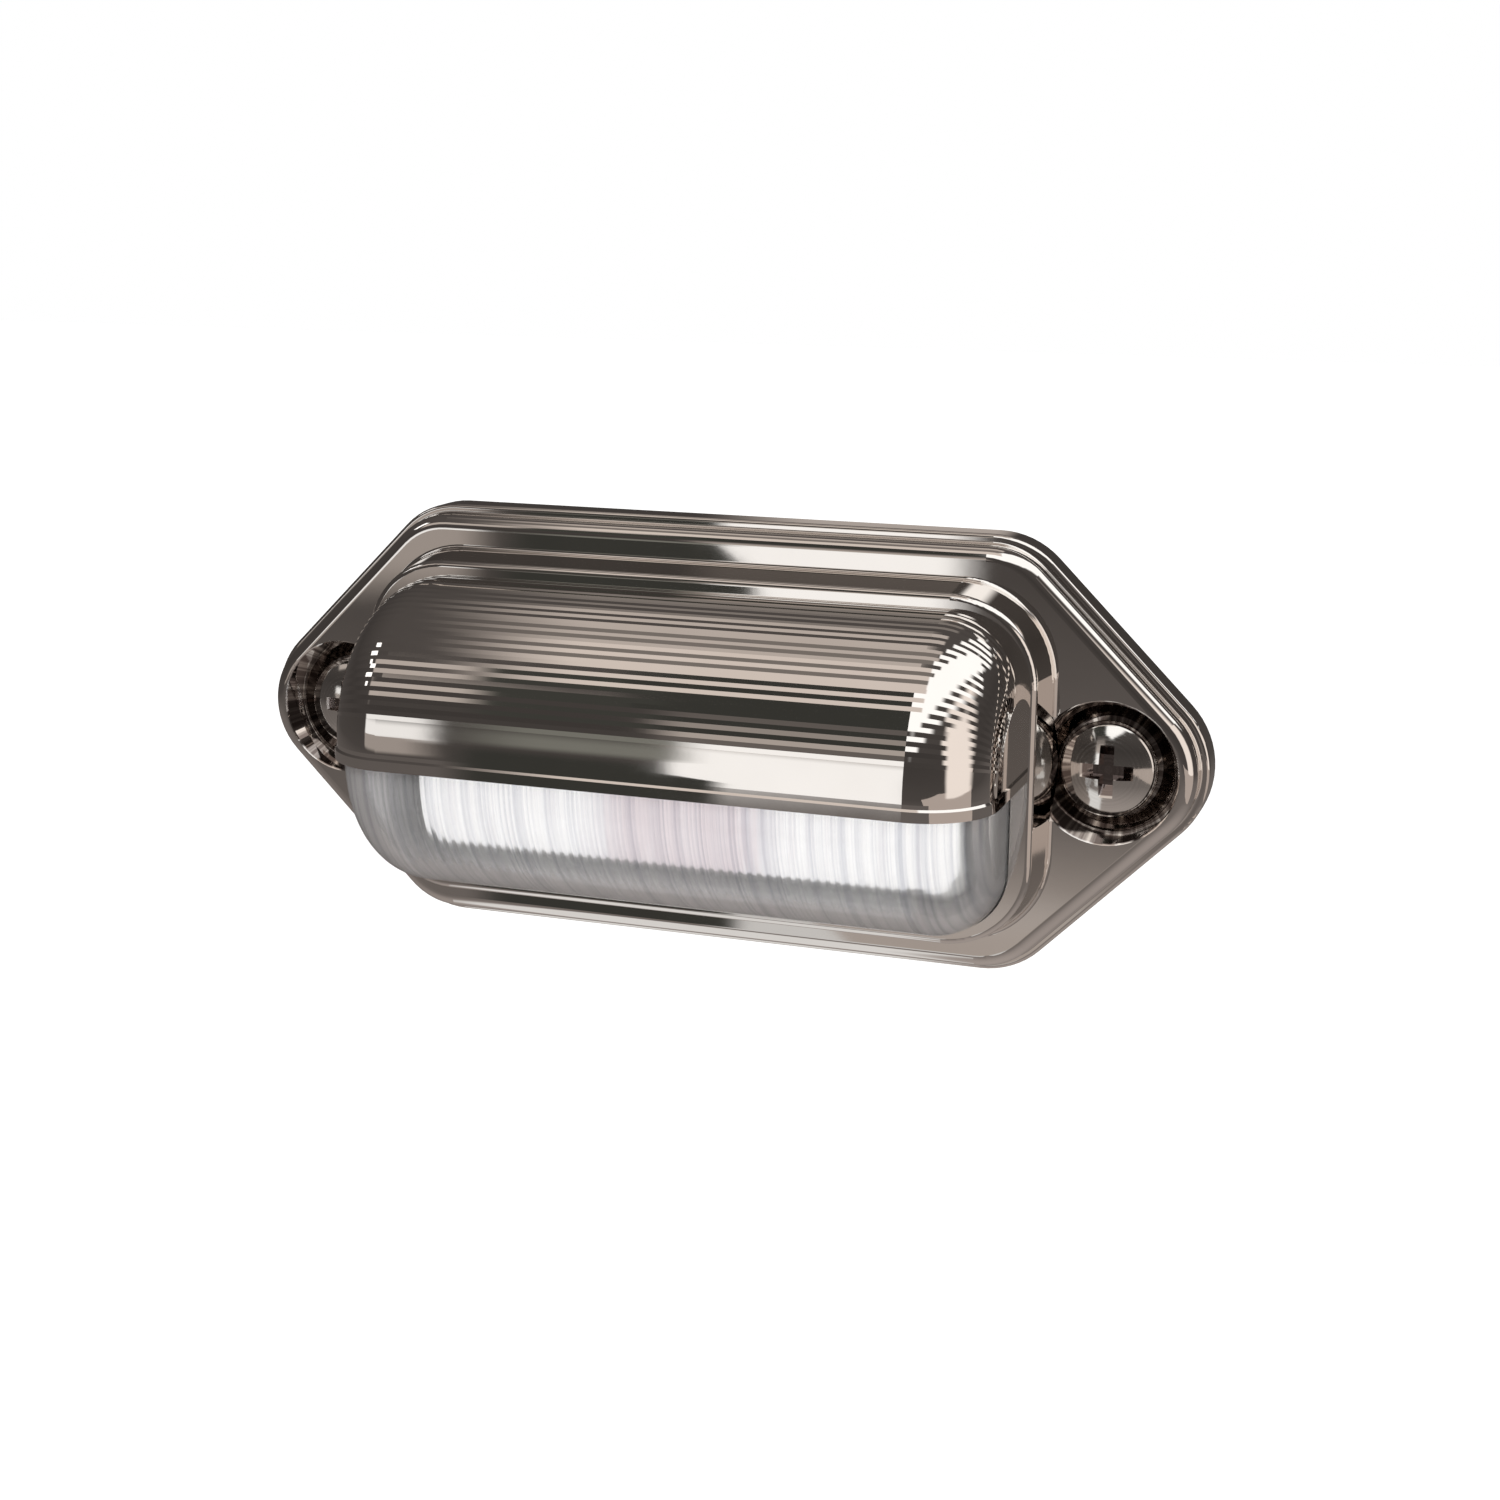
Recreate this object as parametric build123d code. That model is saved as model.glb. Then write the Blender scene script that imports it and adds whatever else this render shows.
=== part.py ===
import os
from math import cos, radians, sin, sqrt

from build123d import *

# Number plate lamp, in millimetres. The mounting face is the plane y = 0 and the lamp faces -Y,
# so a depth is a distance in front of the mounting face. X runs along the lamp and Z is up.

# Hood: a quarter-round with rounded ends, reeded on top, with a plain band and a lip below
HOOD_LENGTH = 66.4
HOOD_RADIUS = 15.0
HOOD_AXIS_Z = 0.5
HOOD_END_RADIUS = 7.0
HOOD_EDGE_Z = -1.1
REED_COUNT = 22
REED_DEPTH = 0.035
BAND_ANGLE = 13.0
LIP_HEIGHT = 1.2
LIP_PROUD = 0.2

# Platform that the hood stands on
PLATFORM_MARGIN = 2.2
PLATFORM_DEPTH = 11.0
PLATFORM_DRAFT = 0.7
PLATFORM_ROUND = 0.6

# Flange: a skirt, a narrow ledge and a raised web with a well rounded edge
WALL = 1.0
SKIRT_DEPTH = 3.2
WEB_DEPTH = 6.0
LEDGE_INSET = 0.9
FOAM_SEAT = 1.85
WEB_LAND = 3.15
CORNER_LAND = 3.2
POINT_RADIUS = 8.5
SHOULDER_RADIUS = 8.3
SKIRT_ROUND = 0.4
WEB_ROUND = 1.35
LEDGE_COVE = 0.25
COVE_ROUND = 0.4

# Mounting screws and the dishes that they sit in
MOUNT_HEAD_RADIUS = 4.75
MOUNT_HEAD_HEIGHT = 2.8
MOUNT_SHANK_RADIUS = 2.4
MOUNT_SHANK_LENGTH = 16.0
MOUNT_NECK_RADIUS = 2.0
MOUNT_NECK_FREE = 0.4
MOUNT_RECESS = 5.9
HEAD_CLEARANCE = 0.35
SEAT_DEPTH = 2.8
SEAT_CLEARANCE = 0.25
HOLE_CLEARANCE = 0.3
DISH_FLARE = 1.9
DISH_CHAMFER = 0.15
DISH_LAND = 1.2

# Proportions of every cross-recessed screw, as shares of its own sizes
HEAD_EDGE_SHARE = 0.25
HEAD_RIM_SHARE = 0.5
TIP_LENGTH_SHARE = 1.4
TIP_FLAT_SHARE = 0.15
RECESS_FLOOR_SHARE = 0.25
RECESS_WIDTH_SHARE = 0.25
RECESS_ROOT_SHARE = 0.5
RECESS_ROOT_WIDTH_SHARE = 0.16
RECESS_CORE_SHARE = 0.36
RECESS_CORE_ROOT_SHARE = 0.22

# Lens: its top fits inside the hood, its bowl stands below the hood's edge
LENS_FIT = 0.3
LENS_SETBACK = 0.7
LENS_GAP = 0.15
LENS_WALL = 1.6
OPENING_FIT = 0.15
RIM_THICKNESS = 1.8
RIM_FIT = 0.15
FLUTE_PITCH = 0.95
FLUTE_DEPTH = 0.012
LENS_SEAL_THICKNESS = 1.0
LENS_SEAL_WIDTH = 2.0

# Back cover
COVER_SEAT = 2.6
COVER_THICKNESS = 1.5
COVER_WALL = 2.0
COVER_FIT = 0.3
EAR_RADIUS = 2.4
BOSS_RADIUS = 2.0
BOSS_LAND = 1.2
PILOT_FIT = 0.05
PILOT_FLOOR = 0.6
COVER_HEAD_RADIUS = 1.9
COVER_HEAD_HEIGHT = 0.9
COVER_SHANK_RADIUS = 1.1
COVER_SHANK_LENGTH = 4.0
COVER_RECESS = 2.5

# Cable inlet
GROMMET_BORE = 2.5
GROMMET_NECK = 3.6
GROMMET_FLANGE = 5.4
GROMMET_LIP = 0.9
GROMMET_EDGE_SHARE = 0.35

# Foam ring behind the flange
FOAM_FIT = 0.1

# Board, reflector and emitters
BOARD_FIT = 1.0
BOARD_THICKNESS = 1.6
BOARD_DROP = 1.6
BOARD_CORNER = 3.2
POST_RADIUS = 2.3
BOARD_SCREW_SPACING = 30.0
BOARD_SCREW_Z = 6.0
BOARD_HEAD_RADIUS = 1.7
BOARD_HEAD_HEIGHT = 1.0
BOARD_SHANK_RADIUS = 0.95
BOARD_SHANK_LENGTH = 5.0
BOARD_RECESS = 2.2
REFLECTOR_MARGIN = 0.9
REFLECTOR_WALL = 1.0
REFLECTOR_GAP = 1.3
LED_SIZE = 5.0
LED_HEIGHT = 1.6
LED_CUP_RADIUS = 2.0
LED_CUP_DEPTH = 0.4
LED_PITCH = 10.0
LED_PAIR_SPACING = 30.0
LED_WINDOW_FIT = 0.3

# Parts on the back of the board: length, height and thickness of each body
RESISTOR_BODY = (3.2, 1.6, 0.6)
RESISTOR_SPACING = 8.0
DIODE_BODY = (4.3, 2.6, 2.2)
REGULATOR_BODY = (6.5, 6.0, 2.3)
CAPACITOR_BODY = (3.5, 2.8, 1.9)
CIRCUIT_ROW_Z = -6.0
CIRCUIT_PITCH = 9.0
LEAD_THICKNESS = 0.3
LEAD_REACH = 0.9
LEAD_WIDTH_SHARE = 0.6
CHIP_EDGE_SHARE = 0.12
POST_SPACING = 8.0
POST_ROW_Z = 8.0
SOLDER_POST_RADIUS = 0.9
SOLDER_POST_BORE = 0.5
SOLDER_POST_LENGTH = 3.2
SOLDER_POST_FLOOR = 0.8

# Sizes that follow from the ones above
HOOD_HALF = HOOD_LENGTH / 2
HOOD_TOP_Z = HOOD_AXIS_Z + HOOD_RADIUS
# Radius round the hood's axis that lies wholly inside its rounded ends
HOOD_CORE = HOOD_RADIUS - HOOD_END_RADIUS - WALL
PLATFORM_HALF_X = HOOD_HALF + PLATFORM_MARGIN
PLATFORM_HALF_Z = HOOD_TOP_Z + PLATFORM_MARGIN
PLATFORM_CORNER = HOOD_END_RADIUS + PLATFORM_MARGIN
FLANGE_HALF_Z = PLATFORM_HALF_Z + WEB_LAND + LEDGE_INSET
WEB_INSET = LEDGE_INSET + FOAM_SEAT
SCREW_X = PLATFORM_HALF_X + MOUNT_HEAD_RADIUS + HEAD_CLEARANCE
SEAT_RADIUS = MOUNT_HEAD_RADIUS + SEAT_CLEARANCE
DISH_RADIUS = SEAT_RADIUS + DISH_FLARE
DISH_REACH = DISH_RADIUS + DISH_CHAMFER + DISH_LAND + LEDGE_INSET
CORNER_REACH = PLATFORM_CORNER + CORNER_LAND + LEDGE_INSET
CORNER_SUM = PLATFORM_HALF_X + PLATFORM_HALF_Z - 2 * PLATFORM_CORNER
# The pointed ends have sides at 45 degrees, on the lines |x| + |z| = SIDE_SUM
SIDE_SUM = max(CORNER_SUM + CORNER_REACH * sqrt(2), SCREW_X + DISH_REACH * sqrt(2))

LENS_TOP_Z = HOOD_EDGE_Z - LENS_GAP
LENS_INSET = WALL + LENS_FIT
LENS_CORE_INSET = LENS_INSET + LENS_WALL
BOWL_RADIUS = HOOD_RADIUS - LENS_SETBACK
BOWL_HALF = HOOD_HALF - LENS_SETBACK
BOWL_END_RADIUS = HOOD_END_RADIUS - LENS_SETBACK
RIM_FRONT = PLATFORM_DEPTH - WALL
RIM_BACK = RIM_FRONT - RIM_THICKNESS
SEAL_BACK = RIM_BACK - LENS_SEAL_THICKNESS

COVER_BACK = COVER_SEAT - COVER_THICKNESS
COVER_SCREW_X = PLATFORM_HALF_X + BOSS_LAND
COVER_SCREW_Z = SIDE_SUM - COVER_SCREW_X - (WEB_INSET + EAR_RADIUS + COVER_FIT) * sqrt(2)
BOARD_FRONT = PLATFORM_DEPTH - BOARD_DROP
BOARD_BACK = BOARD_FRONT - BOARD_THICKNESS
BOARD_HALF_X = HOOD_HALF - LENS_CORE_INSET - BOARD_FIT
BOARD_TOP = HOOD_TOP_Z - LENS_CORE_INSET - BOARD_FIT
BOARD_BOTTOM = LENS_TOP_Z - BOWL_RADIUS + LENS_WALL + BOARD_FIT
BOARD_MID_Z = (BOARD_TOP + BOARD_BOTTOM) / 2
PANEL_BACK = BOARD_FRONT + REFLECTOR_GAP
PANEL_FRONT = PANEL_BACK + REFLECTOR_WALL
LED_PLACES = [
    side * LED_PAIR_SPACING / 2 + step * LED_PITCH / 2 for side in (-1, 1) for step in (-1, 1)
]
COVER_SCREW_PLACES = [(x * COVER_SCREW_X, z * COVER_SCREW_Z) for z in (1, -1) for x in (-1, 1)]
BOARD_SCREW_PLACES = [(side * BOARD_SCREW_SPACING / 2, BOARD_SCREW_Z) for side in (-1, 1)]


# Shared shapes


def facing_front(depth, x=0.0, z=0.0):
    """Plane parallel to the mounting face, its normal towards the viewer."""
    return Plane(origin=(x, -depth, z), x_dir=(1, 0, 0), z_dir=(0, -1, 0))


def facing_back(depth, x=0.0, z=0.0):
    """Plane parallel to the mounting face, its normal towards the vehicle."""
    return Plane(origin=(x, -depth, z), x_dir=(-1, 0, 0), z_dir=(0, 1, 0))


def slab(sheet, back, front):
    """Extrude a sheet drawn in X and Z from one depth to another."""
    return extrude(facing_front(back) * sheet, amount=front - back)


def rod(x, z, radius, back, front):
    """Round bar square to the mounting face."""
    return slab(Pos(x, z) * Circle(radius), back, front)


def rounded_sheet(half_x, bottom, top, corner):
    """Rounded rectangle between two heights, centred in X."""
    return Pos(0, (bottom + top) / 2) * RectangleRounded(2 * half_x, top - bottom, corner)


def flange_sheet(inset):
    """Hexagon of the flange with every side moved inwards, rounded at its corners."""
    point = SIDE_SUM - inset * sqrt(2)
    height = FLANGE_HALF_Z - inset
    shoulder = point - height
    right = [(shoulder, -height), (point, 0), (shoulder, height)]
    left = [(-x, -z) for x, z in right]
    sheet = make_face(Polyline(*right, *left, close=True))
    points = [v for v in sheet.vertices() if abs(v.Y) < height / 2]
    sheet = fillet(points, POINT_RADIUS - inset)
    shoulders = [v for v in sheet.vertices() if abs(abs(v.Y) - height) < height / 100]
    return fillet(shoulders, SHOULDER_RADIUS - inset)


def platform_draft(depth):
    """How far the platform's wall leans in at a depth."""
    return PLATFORM_DRAFT * (depth - WEB_DEPTH) / (PLATFORM_DEPTH - WEB_DEPTH)


def platform_sheet(inset):
    return RectangleRounded(
        2 * (PLATFORM_HALF_X - inset), 2 * (PLATFORM_HALF_Z - inset), PLATFORM_CORNER - inset
    )


def platform_block(inset, front):
    """Platform from the mounting face up: straight behind the web, drafted in front of it."""
    base = platform_sheet(inset)
    top = platform_sheet(inset + platform_draft(front))
    drafted = loft([facing_front(WEB_DEPTH) * base, facing_front(front) * top], ruled=True)
    return slab(base, 0, WEB_DEPTH), drafted


def level_plane(height):
    """Level plane below the platform's front edge, its second direction towards the viewer."""
    return Plane(origin=(0, -PLATFORM_DEPTH, height), x_dir=(1, 0, 0), z_dir=(0, 0, -1))


def hood_plane(angle):
    """Plane through the hood's axis at an angle above the level, its second direction outwards."""
    across = (0, -sin(radians(angle)), -cos(radians(angle)))
    return Plane(origin=(0, -PLATFORM_DEPTH, HOOD_AXIS_Z), x_dir=(1, 0, 0), z_dir=across)


def hood_strip(inner, inset):
    """Half section of the hood: X along it, Y out from its axis, rounded at its outer corners."""
    outer = HOOD_RADIUS - inset
    strip = Pos(0, (inner + outer) / 2) * Rectangle(HOOD_LENGTH - 2 * inset, outer - inner)
    return fillet(strip.vertices().group_by(Axis.Y)[-1], HOOD_END_RADIUS - inset)


def spin_hood(sheet, angle):
    """Turn a half section upwards from the front of the hood."""
    axis = Axis((0, -PLATFORM_DEPTH, HOOD_AXIS_Z), (-1, 0, 0))
    return revolve(hood_plane(0) * sheet, axis=axis, revolution_arc=angle)


def hood_root(inset, back, bottom):
    """Straight parts of the hood: behind its axis, and below it down to a height."""
    top = HOOD_TOP_Z - inset
    sheet = Pos(0, (bottom + top) / 2) * Rectangle(HOOD_LENGTH - 2 * inset, top - bottom)
    sheet = fillet(sheet.vertices().group_by(Axis.Y)[-1], HOOD_END_RADIUS - inset)
    below = extrude(hood_plane(0) * hood_strip(0, inset), amount=HOOD_AXIS_Z - bottom)
    return slab(sheet, back, PLATFORM_DEPTH) + below


def hood_block(inset, back, bottom):
    """Plain solid hood, moved inwards by inset, from a depth behind its axis down to a height."""
    return spin_hood(hood_strip(0, inset), 90) + hood_root(inset, back, bottom)


def reeded_hood(back):
    """The hood's outside: reeds on its top that run on round its ends, above a plain band."""
    step = (90 - BAND_ANGLE) / (2 * REED_COUNT)
    stations = []
    for i in range(2 * REED_COUNT + 1):
        inset = 0 if i % 2 else REED_DEPTH
        stations.append(hood_plane(90 - i * step) * hood_strip(HOOD_CORE / 2, inset))
    core = Pos(0, HOOD_CORE / 2) * Rectangle(HOOD_LENGTH, HOOD_CORE)
    band = spin_hood(hood_strip(0, 0), BAND_ANGLE)
    return loft(stations, ruled=True) + spin_hood(core, 90) + band + hood_root(0, back, HOOD_EDGE_Z)


def hood_lip():
    """Bead along the hood's lower edge, round its front and back along both ends."""
    top = HOOD_EDGE_Z + LIP_HEIGHT
    levels = [(top, 0), (top - LIP_PROUD, LIP_PROUD), (HOOD_EDGE_Z, LIP_PROUD)]
    return loft([level_plane(z) * hood_strip(0, -proud) for z, proud in levels], ruled=True)


def spin_bowl(sheet):
    """Turn a half section from the front of the bowl down to the platform."""
    axis = Axis((0, -PLATFORM_DEPTH, LENS_TOP_Z), (1, 0, 0))
    return revolve(level_plane(LENS_TOP_Z) * sheet, axis=axis, revolution_arc=90)


def bowl_skirt(grow, back, front):
    """Straight part of the bowl behind its axis, as an upright slab."""
    half = BOWL_HALF + grow
    drop = BOWL_RADIUS + grow
    sheet = Pos(0, LENS_TOP_Z - drop / 2) * Rectangle(2 * half, drop)
    sheet = fillet(sheet.vertices().group_by(Axis.Y)[0], BOWL_END_RADIUS + grow)
    return slab(sheet, back, front)


def domed_head(radius, height):
    """Screw head along Z: a short straight edge, a rounded rim and a domed top."""
    edge = height * HEAD_EDGE_SHARE
    crown = height - edge
    dome = (radius * radius + crown * crown) / (2 * crown)
    middle = (radius / 2, height - dome + sqrt(dome * dome - radius * radius / 4))
    sides = Polyline((0, height), (0, 0), (radius, 0), (radius, edge))
    top = ThreePointArc((radius, edge), middle, (0, height))
    outline = make_face([sides, top])
    rim = outline.vertices().sort_by_distance((radius, edge, 0))[0]
    return revolve(Plane.XZ * fillet(rim, height * HEAD_RIM_SHARE), axis=Axis.Z)


def cross_slot(head_height, recess):
    """Tapered cross, with its inner corners cut back, from above a head down into it."""
    top = Plane.XY.offset(head_height)
    floor = Plane.XY.offset(head_height * RECESS_FLOOR_SHARE)
    arm = Rectangle(recess, recess * RECESS_WIDTH_SHARE)
    arm_root = Rectangle(recess * RECESS_ROOT_SHARE, recess * RECESS_ROOT_WIDTH_SHARE)
    core = Rot(0, 0, 45) * Rectangle(recess * RECESS_CORE_SHARE, recess * RECESS_CORE_SHARE)
    core_root = Rot(0, 0, 45) * Rectangle(recess * RECESS_CORE_ROOT_SHARE, recess * RECESS_CORE_ROOT_SHARE)
    slot = loft([top * arm, floor * arm_root], ruled=True)
    return slot + Rot(0, 0, 90) * slot + loft([top * core, floor * core_root], ruled=True)


def pan_screw(head_radius, head_height, shank_radius, shank_length, recess, neck=()):
    """Cross-recessed pan-head screw along Z, with the underside of its head at the origin.

    The neck is the radius and length of a plain stretch below the head, where there is one.
    """
    tip = shank_radius * TIP_LENGTH_SHARE
    outline = [(0, 0)]
    start = 0
    if neck:
        neck_radius, start = neck
        outline += [(neck_radius, 0), (neck_radius, -start)]
    outline += [
        (shank_radius, -start),
        (shank_radius, tip - shank_length),
        (shank_radius * TIP_FLAT_SHARE, -shank_length),
        (0, -shank_length),
    ]
    shank = revolve(Plane.XZ * make_face(Polyline(*outline, close=True)), axis=Axis.Z)
    return domed_head(head_radius, head_height) + shank - cross_slot(head_height, recess)


# The bracket


def dish(side, grow):
    """Solid of revolution that fills a screw's dish and the cove above its mouth."""
    floor = SEAT_DEPTH - grow
    rise = 2 * COVE_ROUND
    mouth = DISH_RADIUS + DISH_CHAMFER + grow
    outline = Polyline(
        (0, floor),
        (SEAT_RADIUS + grow, floor),
        (DISH_RADIUS + grow, WEB_DEPTH - DISH_CHAMFER),
        (mouth, WEB_DEPTH),
        (mouth + rise, WEB_DEPTH + rise),
        (0, WEB_DEPTH + rise),
        close=True,
    )
    spun = revolve(Plane.XZ * make_face(outline), axis=Axis.Z)
    return facing_front(0, side * SCREW_X) * spun


def front_face(solid, depth):
    """The flat face that looks to the front at a depth."""
    faces = solid.faces().filter_by(Axis.Y).sort_by(lambda f: abs(f.center().Y + depth))
    return faces[0]


def make_bracket():
    skirt = slab(flange_sheet(0), 0, SKIRT_DEPTH)
    skirt = fillet(front_face(skirt, SKIRT_DEPTH).edges(), SKIRT_ROUND)
    web = slab(flange_sheet(LEDGE_INSET), 0, WEB_DEPTH)
    web = fillet(front_face(web, WEB_DEPTH).edges(), WEB_ROUND)
    base, raised = platform_block(0, PLATFORM_DEPTH)
    raised = fillet(front_face(raised, PLATFORM_DEPTH).edges(), PLATFORM_ROUND)
    body = skirt + web + raised
    body = fillet(front_face(body, SKIRT_DEPTH).inner_wires()[0].edges(), LEDGE_COVE)
    body = fillet(front_face(body, WEB_DEPTH).inner_wires()[0].edges(), COVE_ROUND)
    inner_base, inner_raised = platform_block(WALL, PLATFORM_DEPTH - WALL)
    hollow = slab(flange_sheet(WALL), 0, SKIRT_DEPTH - WALL)
    hollow += slab(flange_sheet(WEB_INSET), 0, WEB_DEPTH - WALL)
    for side in (-1, 1):
        hollow -= dish(side, WALL)
    for x, z in COVER_SCREW_PLACES:
        hollow -= rod(x, z, BOSS_RADIUS, COVER_SEAT, WEB_DEPTH)
    body -= hollow + inner_base + inner_raised
    for side in (-1, 1):
        body -= dish(side, 0) - base - raised
        body -= rod(side * SCREW_X, 0, MOUNT_SHANK_RADIUS + HOLE_CLEARANCE, 0, SEAT_DEPTH)
    for x, z in COVER_SCREW_PLACES:
        body -= rod(x, z, COVER_SHANK_RADIUS + PILOT_FIT, 0, WEB_DEPTH - PILOT_FLOOR)
    body += reeded_hood(PLATFORM_DEPTH - WALL / 2) + hood_lip()
    body -= hood_block(WALL, RIM_FRONT, HOOD_EDGE_Z - LIP_HEIGHT)
    return body - bowl_skirt(OPENING_FIT, RIM_FRONT, PLATFORM_DEPTH)


# The lens and what seals it


def rim_half(fit):
    """Half length and half height of what slides inside the platform's front."""
    inset = WALL + platform_draft(RIM_FRONT) + fit
    return PLATFORM_HALF_X - inset, PLATFORM_HALF_Z - inset, PLATFORM_CORNER - inset


def bowl_outer():
    sheet = Pos(0, BOWL_RADIUS / 2) * Rectangle(2 * BOWL_HALF, BOWL_RADIUS)
    sheet = fillet(sheet.vertices().group_by(Axis.Y)[-1], BOWL_END_RADIUS)
    return spin_bowl(sheet)


def bowl_inner():
    """Inside of the bowl, with upright flutes that stand into it."""
    half = BOWL_HALF - LENS_WALL
    reach = BOWL_RADIUS - LENS_WALL
    bend = BOWL_END_RADIUS - LENS_WALL
    flat = half - bend
    count = max(1, round(2 * flat / FLUTE_PITCH))
    pitch = 2 * flat / count
    corner = bend * (1 - sin(radians(45)))
    lines = [
        Polyline((-half, reach - bend), (-half, 0), (half, 0), (half, reach - bend)),
        ThreePointArc((half, reach - bend), (half - corner, reach - corner), (flat, reach)),
        ThreePointArc((-flat, reach), (corner - half, reach - corner), (-half, reach - bend)),
    ]
    flutes = [(-flat + i * pitch / 2, reach - FLUTE_DEPTH * (i % 2)) for i in range(2 * count + 1)]
    return spin_bowl(make_face([*lines, Polyline(*flutes)]))


def make_lens():
    half_x, half_z, corner = rim_half(RIM_FIT)
    body = hood_block(LENS_INSET, RIM_BACK, LENS_TOP_Z)
    body += bowl_outer() + bowl_skirt(0, RIM_BACK, PLATFORM_DEPTH)
    body += slab(rounded_sheet(half_x, -half_z, half_z, corner), RIM_BACK, RIM_FRONT)
    body -= hood_block(LENS_CORE_INSET, RIM_BACK, LENS_TOP_Z - LENS_WALL)
    body -= bowl_skirt(-LENS_WALL, RIM_BACK, PLATFORM_DEPTH)
    return body - bowl_inner()


def make_lens_gasket():
    half_x, half_z, corner = rim_half(COVER_FIT)
    outer = rounded_sheet(half_x, -half_z, half_z, corner)
    inner_x, inner_z = half_x - LENS_SEAL_WIDTH, half_z - LENS_SEAL_WIDTH
    inner = rounded_sheet(inner_x, -inner_z, inner_z, corner - LENS_SEAL_WIDTH)
    return slab(outer - inner, SEAL_BACK, RIM_BACK)


# The back cover, its screws and the cable inlet


def make_back_cover():
    half_x, half_z, corner = rim_half(COVER_FIT)
    outer = rounded_sheet(half_x, -half_z, half_z, corner)
    inner_x, inner_z = half_x - COVER_WALL, half_z - COVER_WALL
    inner = rounded_sheet(inner_x, -inner_z, inner_z, corner - COVER_WALL)
    plate = outer
    for x, z in COVER_SCREW_PLACES:
        arm = (abs(x) + EAR_RADIUS - half_x) + COVER_WALL
        plate += Pos(x, z) * Circle(EAR_RADIUS)
        plate += Pos(x - arm / 2 * (1 if x > 0 else -1), z) * Rectangle(arm, 2 * EAR_RADIUS)
    body = slab(plate, COVER_BACK, COVER_SEAT) + slab(outer - inner, COVER_SEAT, SEAL_BACK)
    for x, z in BOARD_SCREW_PLACES:
        body += rod(x, z, POST_RADIUS, COVER_SEAT, BOARD_BACK)
        body -= rod(x, z, BOARD_SHANK_RADIUS + PILOT_FIT, COVER_SEAT, BOARD_BACK)
    for x, z in COVER_SCREW_PLACES:
        body -= rod(x, z, COVER_SHANK_RADIUS + HOLE_CLEARANCE, COVER_BACK, COVER_SEAT)
    return body - rod(0, 0, GROMMET_NECK, COVER_BACK, COVER_SEAT)


def make_wire_grommet():
    body = rod(0, 0, GROMMET_NECK, COVER_BACK, COVER_SEAT)
    for back in (COVER_BACK - GROMMET_LIP, COVER_SEAT):
        lip = rod(0, 0, GROMMET_FLANGE, back, back + GROMMET_LIP)
        body += chamfer(lip.edges(), GROMMET_LIP * GROMMET_EDGE_SHARE)
    return body - rod(0, 0, GROMMET_BORE, COVER_BACK - GROMMET_LIP, COVER_SEAT + GROMMET_LIP)


def make_cover_screw(x, z):
    screw = pan_screw(
        COVER_HEAD_RADIUS, COVER_HEAD_HEIGHT, COVER_SHANK_RADIUS, COVER_SHANK_LENGTH, COVER_RECESS
    )
    return facing_back(COVER_BACK, x, z) * screw


def make_mounting_gasket():
    outer = flange_sheet(WALL + FOAM_FIT)
    return slab(outer - flange_sheet(WEB_INSET), 0, SKIRT_DEPTH - WALL)


def make_mounting_screw(side):
    neck = (MOUNT_NECK_RADIUS, SEAT_DEPTH + MOUNT_NECK_FREE)
    screw = pan_screw(
        MOUNT_HEAD_RADIUS, MOUNT_HEAD_HEIGHT, MOUNT_SHANK_RADIUS, MOUNT_SHANK_LENGTH, MOUNT_RECESS, neck
    )
    return facing_front(SEAT_DEPTH, side * SCREW_X) * screw


# The board and what it carries


def make_led_board():
    sheet = rounded_sheet(BOARD_HALF_X, BOARD_BOTTOM, BOARD_TOP, BOARD_CORNER)
    body = slab(sheet, BOARD_BACK, BOARD_FRONT)
    for x, z in BOARD_SCREW_PLACES:
        body -= rod(x, z, BOARD_SHANK_RADIUS + PILOT_FIT, BOARD_BACK, BOARD_FRONT)
    return body


def make_board_screw(x, z):
    screw = pan_screw(
        BOARD_HEAD_RADIUS, BOARD_HEAD_HEIGHT, BOARD_SHANK_RADIUS, BOARD_SHANK_LENGTH, BOARD_RECESS
    )
    return facing_front(BOARD_FRONT, x, z) * screw


def reflector_sheet(inset):
    margin = REFLECTOR_MARGIN + inset
    half_x = BOARD_HALF_X - margin
    return rounded_sheet(half_x, BOARD_BOTTOM + margin, BOARD_TOP - margin, BOARD_CORNER - inset)


def make_reflector():
    panel = reflector_sheet(0)
    for x in LED_PLACES:
        window = LED_SIZE + 2 * LED_WINDOW_FIT
        panel -= Pos(x, BOARD_MID_Z) * Rectangle(window, window)
    wall = reflector_sheet(0) - reflector_sheet(REFLECTOR_WALL)
    return slab(panel, PANEL_BACK, PANEL_FRONT) + slab(wall, BOARD_FRONT, PANEL_BACK)


def make_led(x):
    front = BOARD_FRONT + LED_HEIGHT
    body = slab(Pos(x, BOARD_MID_Z) * Rectangle(LED_SIZE, LED_SIZE), BOARD_FRONT, front)
    cup = Cone(LED_CUP_RADIUS - LED_CUP_DEPTH, LED_CUP_RADIUS, LED_CUP_DEPTH)
    place = facing_front(front - LED_CUP_DEPTH / 2, x, BOARD_MID_Z)
    return body - place * cup


def chip(body, x, z):
    """Plain component body on the back of the board, with its back edges eased."""
    length, height, thickness = body
    block = slab(Pos(x, z) * Rectangle(length, height), BOARD_BACK - thickness, BOARD_BACK)
    return chamfer(block.faces().sort_by(Axis.Y)[-1].edges(), thickness * CHIP_EDGE_SHARE)


def leads(body, x, z, across):
    """Pair of flat leads that stand out from a component's ends, on the board."""
    length, _, _ = body
    reach = Rectangle(length + 2 * LEAD_REACH, across)
    return slab(Pos(x, z) * reach, BOARD_BACK - LEAD_THICKNESS, BOARD_BACK)


def make_resistor(x):
    return chip(RESISTOR_BODY, x, CIRCUIT_ROW_Z)


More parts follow.
